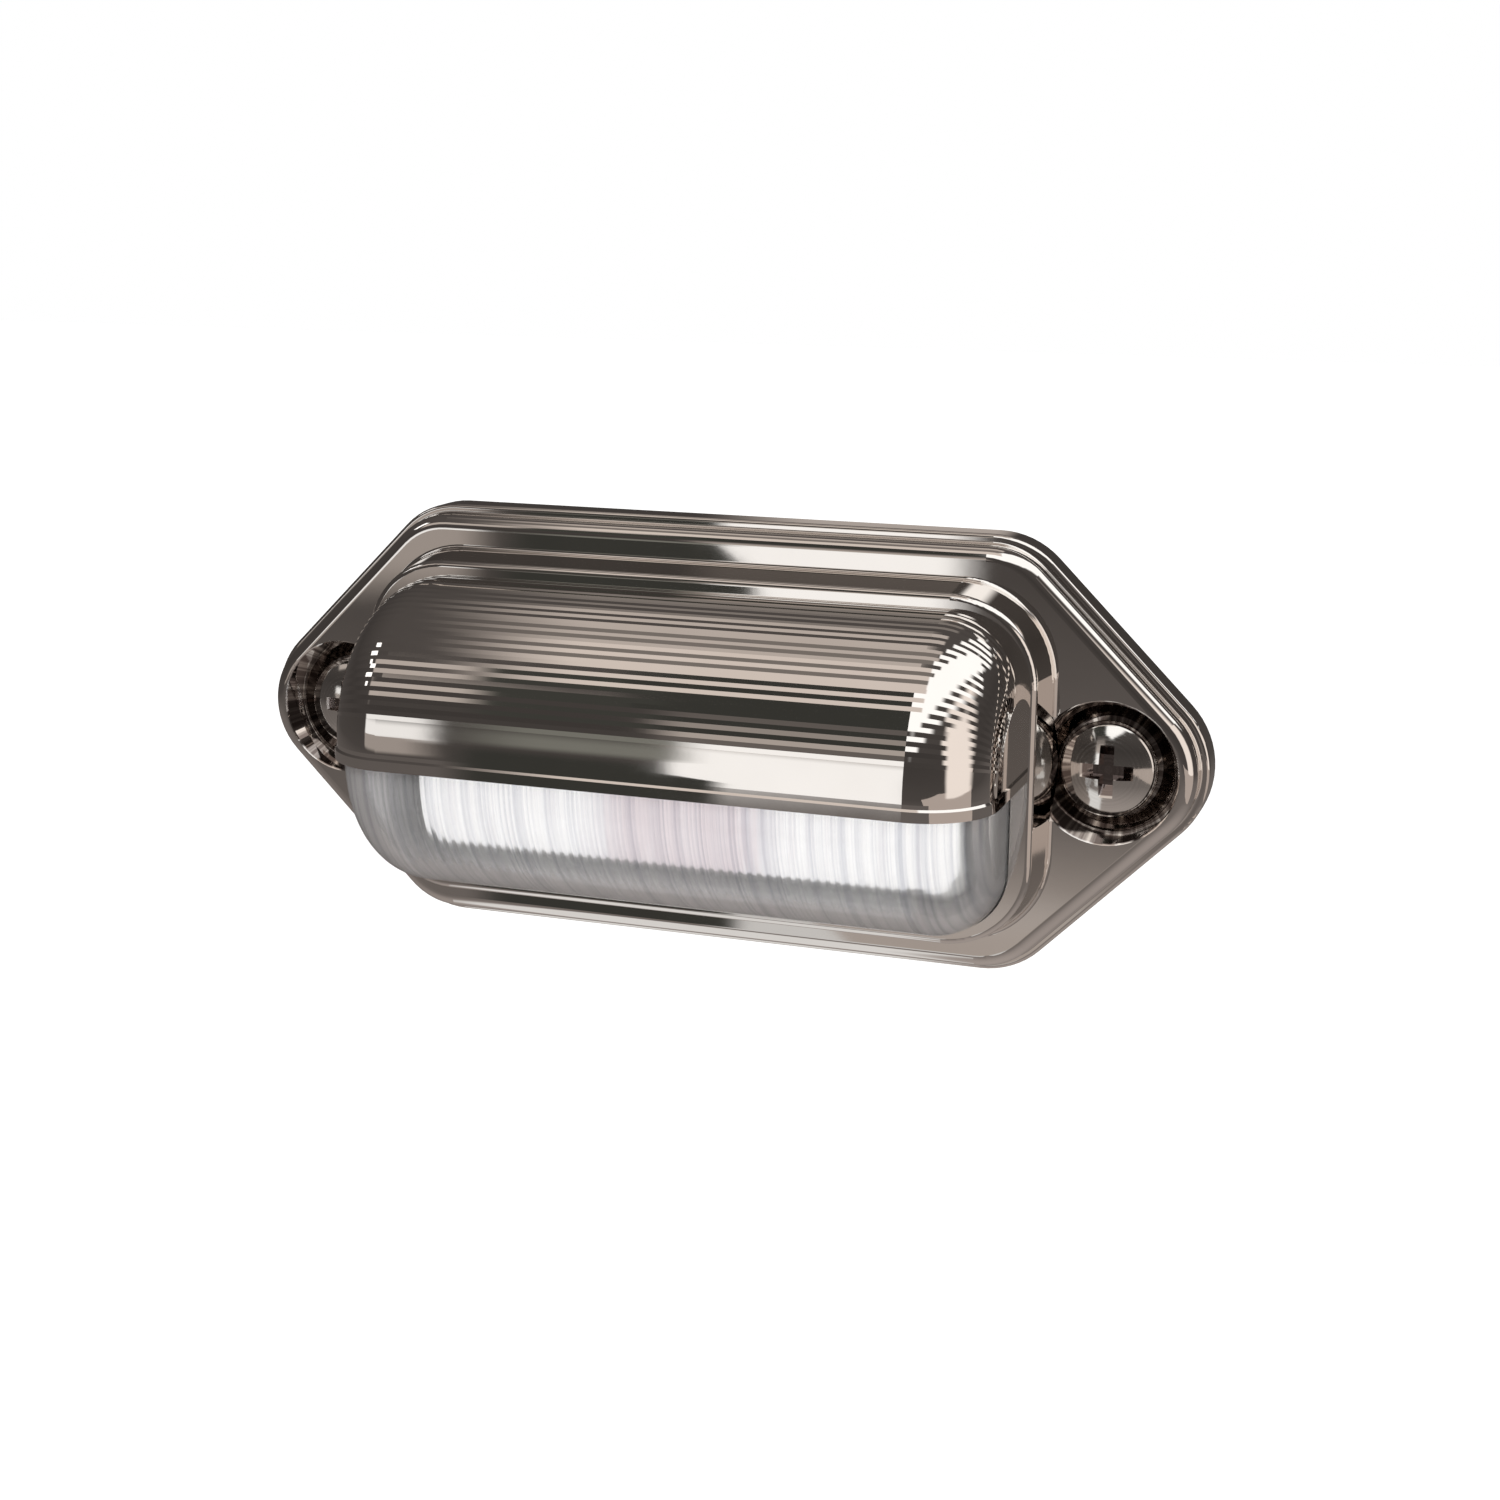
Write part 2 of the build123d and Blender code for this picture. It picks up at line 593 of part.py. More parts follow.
def make_leaded(body, x):
    _, height, _ = body
    return chip(body, x, CIRCUIT_ROW_Z) + leads(body, x, CIRCUIT_ROW_Z, height * LEAD_WIDTH_SHARE)


def make_solder_post(x):
    tip = BOARD_BACK - SOLDER_POST_LENGTH
    post = rod(x, POST_ROW_Z, SOLDER_POST_RADIUS, tip, BOARD_BACK)
    return post - rod(x, POST_ROW_Z, SOLDER_POST_BORE, tip, BOARD_BACK - SOLDER_POST_FLOOR)


def make_parts():
    parts = {
        "bracket": make_bracket(),
        "lens": make_lens(),
        "lens_gasket": make_lens_gasket(),
        "back_cover": make_back_cover(),
        "wire_grommet": make_wire_grommet(),
        "mounting_gasket": make_mounting_gasket(),
        "mounting_screw_left": make_mounting_screw(-1),
        "mounting_screw_right": make_mounting_screw(1),
        "led_board": make_led_board(),
        "reflector": make_reflector(),
        "resistor_1": make_resistor(-2 * CIRCUIT_PITCH - RESISTOR_SPACING / 2),
        "resistor_2": make_resistor(-2 * CIRCUIT_PITCH + RESISTOR_SPACING / 2),
        "diode": make_leaded(DIODE_BODY, 0),
        "capacitor": make_leaded(CAPACITOR_BODY, CIRCUIT_PITCH),
        "regulator": make_leaded(REGULATOR_BODY, 2 * CIRCUIT_PITCH),
        "terminal_positive": make_solder_post(-POST_SPACING / 2),
        "terminal_negative": make_solder_post(POST_SPACING / 2),
    }
    for number, x in enumerate(LED_PLACES, 1):
        parts[f"led_{number}"] = make_led(x)
    for number, (x, z) in enumerate(COVER_SCREW_PLACES, 1):
        parts[f"cover_screw_{number}"] = make_cover_screw(x, z)
    for name, (x, z) in zip(("left", "right"), BOARD_SCREW_PLACES):
        parts[f"board_screw_{name}"] = make_board_screw(x, z)
    return parts


def main():
    os.makedirs("parts", exist_ok=True)
    for name, solid in make_parts().items():
        export_step(solid, f"parts/{name}.step")


main()
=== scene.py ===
from math import cos, pi, radians, sin, sqrt, tan

import bmesh
import bpy
from mathutils import Matrix, Vector


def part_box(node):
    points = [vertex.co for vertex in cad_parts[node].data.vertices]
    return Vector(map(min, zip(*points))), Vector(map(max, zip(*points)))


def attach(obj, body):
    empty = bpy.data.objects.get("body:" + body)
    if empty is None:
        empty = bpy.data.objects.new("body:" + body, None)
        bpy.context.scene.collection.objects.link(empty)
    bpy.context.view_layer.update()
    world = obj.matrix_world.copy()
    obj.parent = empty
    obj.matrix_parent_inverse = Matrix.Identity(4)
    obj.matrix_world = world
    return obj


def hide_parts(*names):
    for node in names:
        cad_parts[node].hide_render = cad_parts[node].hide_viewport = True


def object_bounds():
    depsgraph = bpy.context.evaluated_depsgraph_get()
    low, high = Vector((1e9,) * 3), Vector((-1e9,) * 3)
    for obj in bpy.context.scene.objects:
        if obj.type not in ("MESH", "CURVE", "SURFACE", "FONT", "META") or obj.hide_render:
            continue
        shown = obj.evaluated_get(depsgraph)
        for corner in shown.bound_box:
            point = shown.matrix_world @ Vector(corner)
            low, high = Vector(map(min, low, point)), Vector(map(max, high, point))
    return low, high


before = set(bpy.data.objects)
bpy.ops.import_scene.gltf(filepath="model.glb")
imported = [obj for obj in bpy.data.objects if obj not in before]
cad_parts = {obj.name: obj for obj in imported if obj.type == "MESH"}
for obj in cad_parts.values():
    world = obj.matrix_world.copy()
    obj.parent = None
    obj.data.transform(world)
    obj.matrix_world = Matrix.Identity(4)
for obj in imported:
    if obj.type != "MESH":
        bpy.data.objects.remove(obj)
cad_low, cad_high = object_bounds()

# Number plate lamp, in metres, in the frame of its solids: it faces -Y, and the mounting face is y = 0.
MM = 0.001

# Camera: where the photograph was taken from
VIEW_AZIMUTH = radians(19.293)
VIEW_ELEVATION = radians(13.351)
VIEW_ROLL = radians(0.494)
VIEW_DISTANCE = 242.548 * MM
VIEW_SHIFT_RIGHT = 2.633 * MM
VIEW_SHIFT_UP = -2.460 * MM
SENSOR = 36.0
FOCAL_LENGTH = 56.82
NEAREST_SEEN = 0.01

# Studio: fill light, floor, tent, side table and lamps
FILL_COLOUR = (1, 0.98, 0.96)
FILL_STRENGTH = 0.5
FLOOR_DROP = 0.95
FLOOR_SIZE = 30.0
FLOOR_COLOUR = (0.93, 0.93, 0.93)
FLOOR_ROUGHNESS = 0.9
FLOOR_GLOW = 0.7
TENT_RADIUS = 0.9
TENT_SEGMENTS = 64
TENT_TINT = (1.0, 0.88, 0.82)
# Brightness of the tent at heights from its bottom, 0, to its top, 1
TENT_GREYS = [(0.0, 0.38), (0.12, 0.30), (0.26, 0.17), (0.36, 0.15), (0.43, 0.07), (0.6, 0.05), (0.9, 0.08)]
TABLE_PLACE = (0.62, -0.35, -0.10)
TABLE_SIZE = (0.86, 0.7)
TABLE_COLOUR = (0.46, 0.39, 0.35)
LAMP_SIZE = 0.6
KEY_LAMP_PLACE = (-0.4, -0.7, 0.8)
KEY_LAMP_POWER = 7
FILL_LAMP_PLACE = (0.7, -0.5, 0.5)
FILL_LAMP_POWER = 4

# Cards that show in reflections only: their distances from the lamp and their colours
CARD_DISTANCE = 0.8
SIDE_DISTANCE = 0.45
FLAG_DISTANCE = 0.43
CEILING_DISTANCE = 0.42
TAUPE = (1.0, 0.88, 0.80)
PEACH = (1.0, 0.90, 0.83)
GREEN_GREY = (1.0, 0.99, 0.87)
WHITE = (1.0, 0.985, 0.97)

# Values between which most of a noise pattern lies
PATTERN_LOW = 0.3
PATTERN_HIGH = 0.7

# Places of the colour sockets on Blender's Mix node
MIX_FIRST = 6
MIX_SECOND = 7
MIX_RESULT = 2

# Bright plating, with painted shade in the dished screw seats and painted reflection streaks out from the
# screws
PLATING_GRAIN = 150
PLATING_TINTS = [(0.85, 0.82, 0.79), (0.88, 0.85, 0.82)]
PLATING_ROUGHNESS = (0.02, 0.05)
PLATING_RELIEF = 0.002 * MM
# Painted shade in the dished screw seats, from dark to the painted reflection streaks
DISH_SHADE_TINTS = [(0.18, 0.15, 0.14), (0.70, 0.65, 0.61)]
DISH_RADIUS = 6.9 * MM
DISH_MOUTH = -6.0 * MM
DISH_EDGE = 0.15 * MM
DISH_REFLECTION_STREAKS = 7
DISH_REFLECTION_RANGE = (0.45, 0.70)

# Lens
LENS_STREAK_SCALE = 1300
LENS_STREAK_RANGE = (0.34, 0.54)
LENS_TINTS = [(0.69, 0.70, 0.74), (0.98, 0.98, 0.98)]
LENS_GRAIN = 60
LENS_ROUGHNESS = (0.08, 0.11)
LENS_CLEARNESS = 0.82
LENS_IOR = 1.49

# Panel behind the lens, with a painted glow for the emitters' light
PANEL_DIM_REACH = (5 * MM, 12 * MM)
PANEL_STREAK_SCALE = 1100
PANEL_UNEVEN = 0.3
PANEL_GLOW = [(0.66, 0.56, 0.60), (0.80, 0.77, 0.80), (1.0, 1.0, 1.0)]
PANEL_GRAIN = 900
PANEL_WHITES = [(0.88, 0.88, 0.86), (0.93, 0.93, 0.91)]
PANEL_ROUGHNESS = (0.3, 0.42)
LIGHT_STRENGTH = 1.0

# Emitters, whose values go from the package to the filling in its cup
EMITTER_PITCH = 10 * MM
EMITTER_CUP_RADIUS = 2 * MM
EMITTER_CUP_EDGE = 0.1 * MM
EMITTER_COLOURS = [(0.90, 0.90, 0.88), (0.95, 0.80, 0.34)]
EMITTER_GLOW = [(0.75, 0.75, 0.74), (1.0, 0.97, 0.88)]
EMITTER_ROUGHNESS = (0.35, 0.12)

# Heads of the mounting screws: flatter domes than the solids', with painted shade in the cross recess.
# The dome falls by DOME_FALL times the square of the distance from its axis.
HEAD_HEIGHT = 2.8 * MM
DOME_SHARE = 0.62
DOME_FALL = 0.048 / MM
RECESS_REACH = 3.1 * MM
RECESS_EDGE = 0.12 * MM
SCREW_RINGS = 5000
SCREW_TINTS = [(0.80, 0.78, 0.75), (0.86, 0.84, 0.81)]
SCREW_ROUGHNESS = (0.05, 0.12)
SCREW_RELIEF = 0.0015 * MM
# Painted shade in the cross recess
RECESS_SHADE_TINTS = [(0.22, 0.19, 0.18), (0.30, 0.26, 0.25)]

# Threads of the mounting screws
NECK_END = 0.3 * MM
CORE_RADIUS = 1.85 * MM
CREST_RADIUS = 2.38 * MM
THREAD_PITCH = 1.6 * MM
THREAD_ROOT = 1.0 * MM
THREAD_CREST = 0.14 * MM
THREAD_BITE = 0.1 * MM
TIP_LENGTH = 3.36 * MM
TIP_SHARE = 0.15

# Cable inlet
GROMMET_BORE = 2.5 * MM
GROMMET_NECK = 3.6 * MM
GROMMET_LIP = 0.9 * MM
GROMMET_ROUND = 0.38 * MM
GROMMET_ROUND_STEPS = 5

# Meshes of the new pieces
ROUND_STEPS = 64
MERGE_DISTANCE = 0.001 * MM
SMOOTH_ANGLE = radians(35)


# Nodes that the studio and the finishes share


def figure(tree, operation, *values):
    """Math node on sockets and plain numbers."""
    node = tree.nodes.new("ShaderNodeMath")
    node.operation = operation
    for value, socket in zip(values, node.inputs):
        if isinstance(value, (int, float)):
            socket.default_value = value
        else:
            tree.links.new(value, socket)
    return node.outputs[0]


def fade(tree, value, start, end):
    """1 at end and 0 at start, with a smooth change between them."""
    edge = tree.nodes.new("ShaderNodeMapRange")
    edge.interpolation_type = "SMOOTHSTEP"
    edge.inputs["From Min"].default_value = start
    edge.inputs["From Max"].default_value = end
    tree.links.new(value, edge.inputs["Value"])
    return edge.outputs["Result"]


def object_place(tree):
    """Sockets of the place on a piece: all of it, and its X, Y and Z."""
    place = tree.nodes.new("ShaderNodeTexCoord").outputs["Object"]
    parts = tree.nodes.new("ShaderNodeSeparateXYZ")
    tree.links.new(place, parts.inputs[0])
    return place, parts.outputs["X"], parts.outputs["Y"], parts.outputs["Z"]


def from_axis(tree, aside, above):
    """Distance from an axis along Y, from the offsets in X and Z."""
    squares = [figure(tree, "MULTIPLY", side, side) for side in (aside, above)]
    return figure(tree, "SQRT", figure(tree, "ADD", *squares))


# Camera, floor and light


def make_camera():
    back = Vector((
        sin(VIEW_AZIMUTH) * cos(VIEW_ELEVATION),
        -cos(VIEW_AZIMUTH) * cos(VIEW_ELEVATION),
        sin(VIEW_ELEVATION),
    ))
    sideways = Vector((cos(VIEW_AZIMUTH), sin(VIEW_AZIMUTH), 0))
    upright = back.cross(sideways)
    right = cos(VIEW_ROLL) * sideways + sin(VIEW_ROLL) * upright
    up = cos(VIEW_ROLL) * upright - sin(VIEW_ROLL) * sideways
    data = bpy.data.cameras.new("camera")
    data.sensor_width = SENSOR
    data.lens = FOCAL_LENGTH
    data.clip_start = NEAREST_SEEN
    camera = bpy.data.objects.new("camera", data)
    bpy.context.scene.collection.objects.link(camera)
    place = VIEW_DISTANCE * back + VIEW_SHIFT_RIGHT * right + VIEW_SHIFT_UP * up
    turn = Matrix((right, up, back)).transposed().to_4x4()
    camera.matrix_world = Matrix.Translation(place) @ turn
    bpy.context.scene.camera = camera


def seen_rays(tree):
    """1 for the rays that show the background: to the camera, off a mirror or through glass."""
    path = tree.nodes.new("ShaderNodeLightPath")
    seen = path.outputs["Is Camera Ray"]
    for ray in ("Is Glossy Ray", "Is Transmission Ray"):
        seen = figure(tree, "MAXIMUM", seen, path.outputs[ray])
    return seen


def make_world():
    """White background, and a soft fill for the rest of the light."""
    world = bpy.data.worlds.new("studio")
    bpy.context.scene.world = world
    world.use_nodes = True
    tree = world.node_tree
    tree.nodes.clear()
    shown = tree.nodes.new("ShaderNodeBackground")
    shown.inputs["Color"].default_value = (1, 1, 1, 1)
    shown.inputs["Strength"].default_value = 1
    fill = tree.nodes.new("ShaderNodeBackground")
    fill.inputs["Color"].default_value = (*FILL_COLOUR, 1)
    fill.inputs["Strength"].default_value = FILL_STRENGTH
    mix = tree.nodes.new("ShaderNodeMixShader")
    out = tree.nodes.new("ShaderNodeOutputWorld")
    tree.links.new(seen_rays(tree), mix.inputs[0])
    tree.links.new(fill.outputs[0], mix.inputs[1])
    tree.links.new(shown.outputs[0], mix.inputs[2])
    tree.links.new(mix.outputs[0], out.inputs["Surface"])


def make_floor():
    bpy.ops.object.select_all(action="DESELECT")
    bpy.ops.mesh.primitive_plane_add(size=FLOOR_SIZE, location=(0, 0, cad_low.z - FLOOR_DROP))
    floor = bpy.context.object
    floor.name = "floor"
    material, tree, bsdf = new_finish("pale_floor")
    bsdf.inputs["Base Color"].default_value = (*FLOOR_COLOUR, 1)
    bsdf.inputs["Roughness"].default_value = FLOOR_ROUGHNESS
    bsdf.inputs["Emission Color"].default_value = (1, 1, 1, 1)
    glow = figure(tree, "MULTIPLY", seen_rays(tree), FLOOR_GLOW)
    tree.links.new(glow, bsdf.inputs["Emission Strength"])
    floor.data.materials.append(material)


def new_glow(name):
    """Material that only glows: the material, its nodes, its light and what it shows."""
    material = bpy.data.materials.new(name)
    material.use_nodes = True
    tree = material.node_tree
    tree.nodes.clear()
    glow = tree.nodes.new("ShaderNodeEmission")
    out = tree.nodes.new("ShaderNodeOutputMaterial")
    return material, tree, glow, out.inputs["Surface"]


def show_in_reflections(obj, material):
    """Give an object its material, and show it only in reflections."""
    obj.data.materials.append(material)
    obj.visible_camera = False
    obj.visible_diffuse = False
    obj.visible_shadow = False


def over(across, around):
    """Axes of a place round the lamp's length: its share along +X, and its turn up from straight ahead."""
    rest = sqrt(1 - across * across)
    turn = radians(around)
    away = Vector((across, -rest * cos(turn), rest * sin(turn)))
    upward = Vector((0, sin(turn), cos(turn)))
    return upward.cross(-away), upward, away


def level(azimuth, elevation):
    """Axes of a place in the studio: its azimuth from straight ahead towards +X, and its elevation."""
    turn, rise = radians(azimuth), radians(elevation)
    away = Vector((sin(turn) * cos(rise), -cos(turn) * cos(rise), sin(rise)))
    along = Vector((-cos(turn), -sin(turn), 0))
    return along, (-away).cross(along), away


# Name, colour, strength, place, width, height, soft sides, soft heights and, where it isn't usual, distance
CARDS = [
    ("skylight", WHITE, 1.2, level(60, 64), 112, 40, (0.12, 0.12), (0.3, 0.12), SIDE_DISTANCE),
    ("right_wall", PEACH, 0.95, level(70, 16), 50, 50, (0.5, 0.3), (0.03, 0.3), SIDE_DISTANCE),
    ("ceiling_front", TAUPE, 0.70, over(-0.20, 66), 34, 23, (0.2, 0.35), (0.15, 0.2), CEILING_DISTANCE),
    ("ceiling_gap", TAUPE, 0.20, over(-0.20, 86), 34, 20, (0.2, 0.35), (0.3, 0.3)),
    ("ceiling_middle", TAUPE, 0.52, over(-0.20, 104), 34, 17.6, (0.2, 0.35), (0.2, 0.2)),
    ("ceiling_back", TAUPE, 0.22, over(-0.20, 139), 34, 17.6, (0.2, 0.35), (0.2, 0.2)),
    ("back_box", TAUPE, 0.42, over(-0.22, 172), 16, 18, (0.8, 0.5), (0.3, 0.4)),
    ("upper_strip", TAUPE, 0.50, over(-0.52, 45), 32, 17, (0.2, 0.2), (0.5, 0.2)),
    ("upper_flag", GREEN_GREY, 0.04, over(-0.25, 43), 15.5, 30, (0.4, 0.3), (0.3, 0.1), FLAG_DISTANCE),
    ("side_flag", GREEN_GREY, 0.05, over(-0.39, 39), 8, 22, (0.3, 0.4), (0.3, 0.3), FLAG_DISTANCE),
    ("left_box", TAUPE, 0.36, over(-0.60, -4), 21, 11, (0.15, 0.2), (0.3, 0.3)),
    ("front_strip", GREEN_GREY, 0.19, over(-0.39, 4), 9, 11, (0.4, 0.9), (0.9, 0.9)),
    ("left_strip", WHITE, 0.95, over(-0.60, 3), 21, 12, (0.1, 0.3), (0.7, 0.7)),
    ("front_flag", GREEN_GREY, 0.04, over(-0.38, -13), 9, 24, (0.2, 0.3), (0.2, 0.5)),
    ("front_softbox", WHITE, 1.05, over(-0.27, -3), 9, 24, (0.4, 0.15), (0.2, 0.3)),
    ("low_glow", TAUPE, 0.40, over(-0.16, -22), 22, 14, (0.6, 0.5), (0.5, 0.7)),
    ("left_window", WHITE, 1.6, level(-70, 35), 10, 14, (0.1, 0.1), (0.1, 0.1)),
    ("right_glow", TAUPE, 0.44, over(-0.26, 18.5), 12, 25, (0.5, 0.3), (0.2, 1.6)),
    ("floor_glow", WHITE, 0.75, over(-0.33, -75), 20, 75, (0.3, 0.3), (0.2, 0.2), SIDE_DISTANCE),
    ("low_strip", WHITE, 0.62, over(-0.20, -25), 16, 15, (0.2, 0.2), (0.2, 0.25)),
]


def make_card(
    name, colour, strength, axes, width, height, soft_sides, soft_heights, distance=CARD_DISTANCE
):
    """Card that faces the lamp, of a width and height in degrees as the lamp sees it.

    The soft values are the shares of its half width and half height that fade at its edges:
    left and right as the lamp sees it, then low and high.
    """
    along, upward, away = axes
    half_width = distance * tan(radians(width / 2))
    half_height = distance * tan(radians(height / 2))
    bpy.ops.object.select_all(action="DESELECT")
    bpy.ops.mesh.primitive_plane_add(size=2)
    card = bpy.context.object
    card.name = name
    turn = Matrix((along, upward, along.cross(upward))).transposed().to_4x4()
    size = Matrix.Diagonal((half_width, half_height, 1, 1))
    card.matrix_world = Matrix.Translation(away * distance) @ turn @ size
    material, tree, glow, shown = new_glow(name)
    glow.inputs["Color"].default_value = (*colour, 1)
    glow.inputs["Strength"].default_value = strength
    _, x, y, _ = object_place(tree)
    sides = figure(
        tree, "MULTIPLY", fade(tree, x, -1, -1 + soft_sides[0]), fade(tree, x, 1, 1 - soft_sides[1])
    )
    heights = figure(
        tree, "MULTIPLY", fade(tree, y, -1, -1 + soft_heights[0]), fade(tree, y, 1, 1 - soft_heights[1])
    )
    clear = tree.nodes.new("ShaderNodeBsdfTransparent")
    mix = tree.nodes.new("ShaderNodeMixShader")
    tree.links.new(figure(tree, "MULTIPLY", sides, heights), mix.inputs[0])
    tree.links.new(clear.outputs[0], mix.inputs[1])
    tree.links.new(glow.outputs[0], mix.inputs[2])
    tree.links.new(mix.outputs[0], shown)
    show_in_reflections(card, material)


def make_table():
    """Pale side table, to the right of the lamp and just below it."""
    bpy.ops.object.select_all(action="DESELECT")
    bpy.ops.mesh.primitive_plane_add(size=1, location=TABLE_PLACE)
    table = bpy.context.object
    table.name = "side_table"
    table.scale = (*TABLE_SIZE, 1)
    material, tree, glow, shown = new_glow("side_table")
    glow.inputs["Color"].default_value = (*TABLE_COLOUR, 1)
    tree.links.new(glow.outputs[0], shown)
    show_in_reflections(table, material)


def make_tent():
    """Studio tent round the lamp, in a dim warm grey that is paler below."""
    bpy.ops.object.select_all(action="DESELECT")
    bpy.ops.mesh.primitive_uv_sphere_add(
        segments=TENT_SEGMENTS, ring_count=TENT_SEGMENTS // 2, radius=TENT_RADIUS
    )
    tent = bpy.context.object
    tent.name = "tent"
    material, tree, glow, shown = new_glow("tent_cloth")
    _, _, _, z = object_place(tree)
    ramp = tree.nodes.new("ShaderNodeValToRGB")
    stops = ramp.color_ramp.elements
    for position, grey in TENT_GREYS:
        stop = stops[0] if position == TENT_GREYS[0][0] else stops.new(position)
        stop.position = position
        stop.color = (*(grey * share for share in TENT_TINT), 1)
    stops.remove(stops[-1])
    tree.links.new(spread(tree, z, 0, 1, -TENT_RADIUS, TENT_RADIUS), ramp.inputs["Fac"])
    tree.links.new(ramp.outputs["Color"], glow.inputs["Color"])
    tree.links.new(glow.outputs[0], shown)
    show_in_reflections(tent, material)


def make_lamp(name, place, power):
    """Square soft lamp that is aimed at the origin and shows in no reflection."""
    data = bpy.data.lights.new(name, "AREA")
    data.size = LAMP_SIZE
    data.energy = power
    lamp = bpy.data.objects.new(name, data)
    lamp.location = place
    lamp.rotation_mode = "QUATERNION"
    lamp.rotation_quaternion = (-Vector(place)).to_track_quat("-Z", "Y")
    lamp.visible_glossy = False
    bpy.context.scene.collection.objects.link(lamp)


def make_studio():
    bpy.context.scene.view_settings.view_transform = "Standard"
    make_world()
    make_floor()
    make_tent()
    make_table()
    for card in CARDS:
        make_card(*card)
    make_lamp("key_lamp", KEY_LAMP_PLACE, KEY_LAMP_POWER)
    make_lamp("fill_lamp", FILL_LAMP_PLACE, FILL_LAMP_POWER)


# Patterns that several finishes share


def new_group(name, inputs):
    """Node group with number inputs and one output, Value: the group, what it is given and its result."""
    group = bpy.data.node_groups.new(name, "ShaderNodeTree")
    for label, value in inputs:
        socket = group.interface.new_socket(label, in_out="INPUT", socket_type="NodeSocketFloat")
        socket.default_value = value
    group.interface.new_socket("Value", in_out="OUTPUT", socket_type="NodeSocketFloat")
    return group, group.nodes.new("NodeGroupInput"), group.nodes.new("NodeGroupOutput")


def make_grain():
    """Soft cloudy noise."""
    group, given, result = new_group("grain", [("Scale", 1000.0)])
    place, _, _, _ = object_place(group)
    noise = group.nodes.new("ShaderNodeTexNoise")
    noise.inputs["Detail"].default_value = 4
    group.links.new(place, noise.inputs["Vector"])
    group.links.new(given.outputs["Scale"], noise.inputs["Scale"])
    group.links.new(noise.outputs["Fac"], result.inputs["Value"])
    return group


def make_cells():
    """Small rounded cells: 0 at their middles."""
    group, given, result = new_group("cells", [("Scale", 1000.0)])
    place, _, _, _ = object_place(group)
    cells = group.nodes.new("ShaderNodeTexVoronoi")
    group.links.new(place, cells.inputs["Vector"])
    group.links.new(given.outputs["Scale"], cells.inputs["Scale"])
    group.links.new(cells.outputs["Distance"], result.inputs["Value"])
    return group


def make_rings():
    """Turned lines round axes along Y that stand at plus and minus a place in X and Z."""
    group, given, result = new_group("rings", [("Scale", 1000.0), ("Middle X", 0.0), ("Middle Z", 0.0)])
    _, x, _, z = object_place(group)
    aside = figure(group, "SUBTRACT", figure(group, "ABSOLUTE", x), given.outputs["Middle X"])
    above = figure(group, "SUBTRACT", figure(group, "ABSOLUTE", z), given.outputs["Middle Z"])
    noise = group.nodes.new("ShaderNodeTexNoise")
    noise.noise_dimensions = "1D"
    group.links.new(from_axis(group, aside, above), noise.inputs["W"])
    group.links.new(given.outputs["Scale"], noise.inputs["Scale"])
    group.links.new(noise.outputs["Fac"], result.inputs["Value"])
    return group


def make_streaks():
    """Fine upright streaks of uneven width."""
    group, given, result = new_group("streaks", [("Scale", 1000.0)])
    _, x, _, _ = object_place(group)
    noise = group.nodes.new("ShaderNodeTexNoise")
    noise.noise_dimensions = "1D"
    noise.inputs["Detail"].default_value = 3
    noise.inputs["Roughness"].default_value = 0.6
    group.links.new(x, noise.inputs["W"])
    group.links.new(given.outputs["Scale"], noise.inputs["Scale"])
    group.links.new(noise.outputs["Fac"], result.inputs["Value"])
    return group


GRAIN, CELLS, RINGS, STREAKS = make_grain(), make_cells(), make_rings(), make_streaks()


# Finishes


def new_finish(name):
    material = bpy.data.materials.new(name)
    material.use_nodes = True
    return material, material.node_tree, material.node_tree.nodes["Principled BSDF"]


def pattern(tree, group, scale, **values):
    node = tree.nodes.new("ShaderNodeGroup")
    node.node_tree = group
    node.inputs["Scale"].default_value = scale
    for label, value in values.items():
        node.inputs[label.replace("_", " ")].default_value = value
    return node.outputs["Value"]


def blend_colours(tree, value, colours, start=PATTERN_LOW, end=PATTERN_HIGH):
    """Colours spread evenly between two values of a pattern."""
    ramp = tree.nodes.new("ShaderNodeValToRGB")
    stops = ramp.color_ramp.elements
    for i, colour in enumerate(colours):
        position = start + (end - start) * i / (len(colours) - 1)
        stop = stops[i] if i < 2 else stops.new(position)
        stop.position = position
        stop.color = (*colour, 1)
    tree.links.new(value, ramp.inputs["Fac"])
    return ramp.outputs["Color"]


def spread(tree, value, low, high, start=PATTERN_LOW, end=PATTERN_HIGH):
    """Number between low and high, as a pattern goes from start to end."""
    node = tree.nodes.new("ShaderNodeMapRange")
    node.inputs["From Min"].default_value = start
    node.inputs["From Max"].default_value = end
    node.inputs["To Min"].default_value = low
    node.inputs["To Max"].default_value = high
    tree.links.new(value, node.inputs["Value"])
    return node.outputs["Result"]


def relief(tree, bsdf, value, depth):
    """Surface relief, as deep as depth where the pattern goes from 0 to 1."""
    bump = tree.nodes.new("ShaderNodeBump")
    bump.inputs["Strength"].default_value = 1
    bump.inputs["Distance"].default_value = depth
    tree.links.new(value, bump.inputs["Height"])
    tree.links.new(bump.outputs["Normal"], bsdf.inputs["Normal"])


def surface(name, group, scale, colours, roughness, depth, metallic=0.0):
    """Finish whose colour, gloss and relief follow one pattern."""
    material, tree, bsdf = new_finish(name)
    value = pattern(tree, group, scale)
    tree.links.new(blend_colours(tree, value, colours), bsdf.inputs["Base Color"])
    tree.links.new(spread(tree, value, *roughness), bsdf.inputs["Roughness"])
    relief(tree, bsdf, value, depth)
    bsdf.inputs["Metallic"].default_value = metallic
    return material


def round_screws(tree):
    """Sockets of the place round the nearer mounting screw: X, Y and Z, and the distance from its axis."""
    low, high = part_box("mounting_screw_right")
    _, x, y, z = object_place(tree)
    aside = figure(tree, "SUBTRACT", figure(tree, "ABSOLUTE", x), (low.x + high.x) / 2)
    return aside, y, z, from_axis(tree, aside, z)


